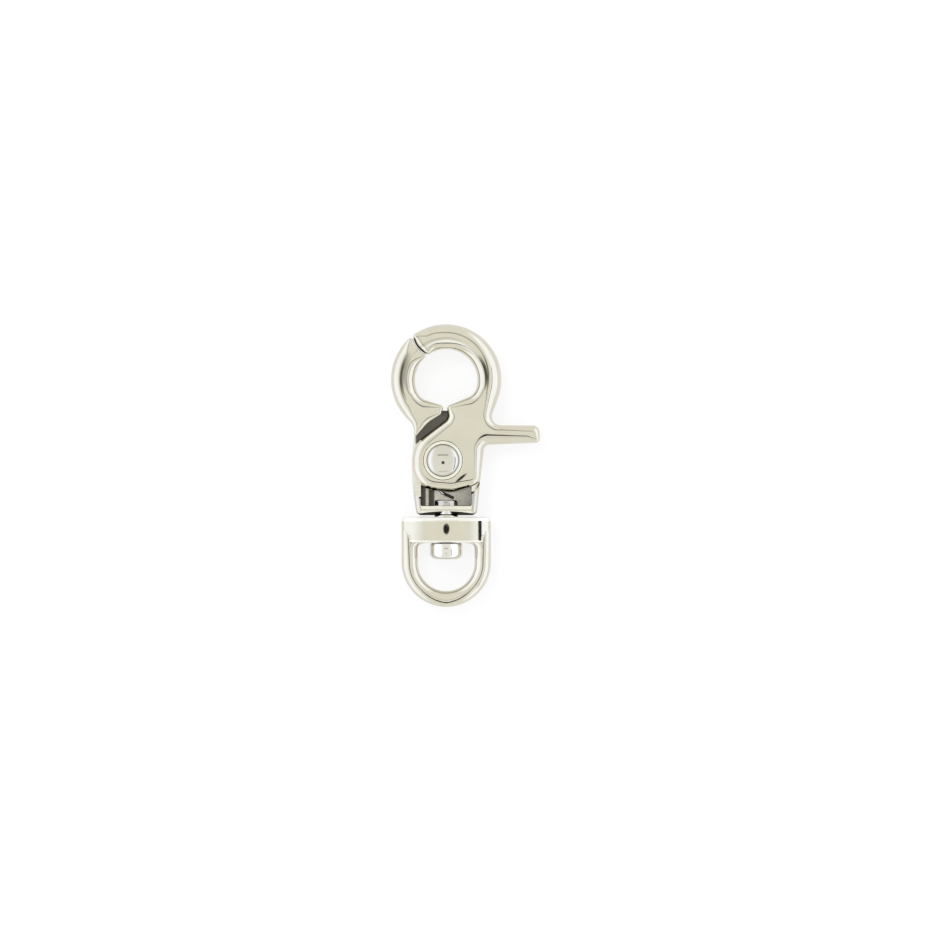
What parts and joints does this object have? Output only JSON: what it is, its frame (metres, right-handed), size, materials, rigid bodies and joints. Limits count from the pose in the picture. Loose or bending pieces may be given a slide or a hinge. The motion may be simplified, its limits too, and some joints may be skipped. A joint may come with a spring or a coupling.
{
  "type": "swivel snap hook",
  "caption": "Polished nickel swivel snap hook: a sprung scissor lever with a trigger closes a round jaw, and a D-shaped eye turns on a pin at the foot.",
  "frame": {"origin": "middle of the bounding box in plan, at the plane that the back of the hook rests on", "axes": "+Y along the hook from the swivel eye to the jaw ring, +X towards the trigger, +Z out of the front face with the rivet head"},
  "size_m": [0.0334, 0.0636, 0.0074],
  "materials": {
    "cast_nickel": "polished nickel plate on a casting",
    "turned_nickel": "polished nickel plate on turned steel",
    "spring_wire": "drawn spring wire"
  },
  "bodies": {
    "hook_body": {"body": "cast_nickel", "pivot_rivet": "turned_nickel", "torsion_spring": "spring_wire", "swivel_pin": "turned_nickel"},
    "lever": {"lever": "cast_nickel"},
    "swivel_eye": {"swivel_eye": "cast_nickel"}
  },
  "joints": [
    {"name": "lever_pivot", "type": "hinge", "parent": "hook_body", "child": "lever", "pos_m": [-0.00502, 0.00116, 0.005], "axis": [0, 0, -1], "range_deg": [0, 28], "stiffness_Nm_per_rad": 0.05, "springref_deg": -34.38, "deforming": ["torsion_spring"]},
    {"name": "eye_swivel", "type": "hinge", "parent": "hook_body", "child": "swivel_eye", "pos_m": [-0.0043, -0.01444, 0.0037], "axis": [0, 1, 0], "continuous": true}
  ]
}
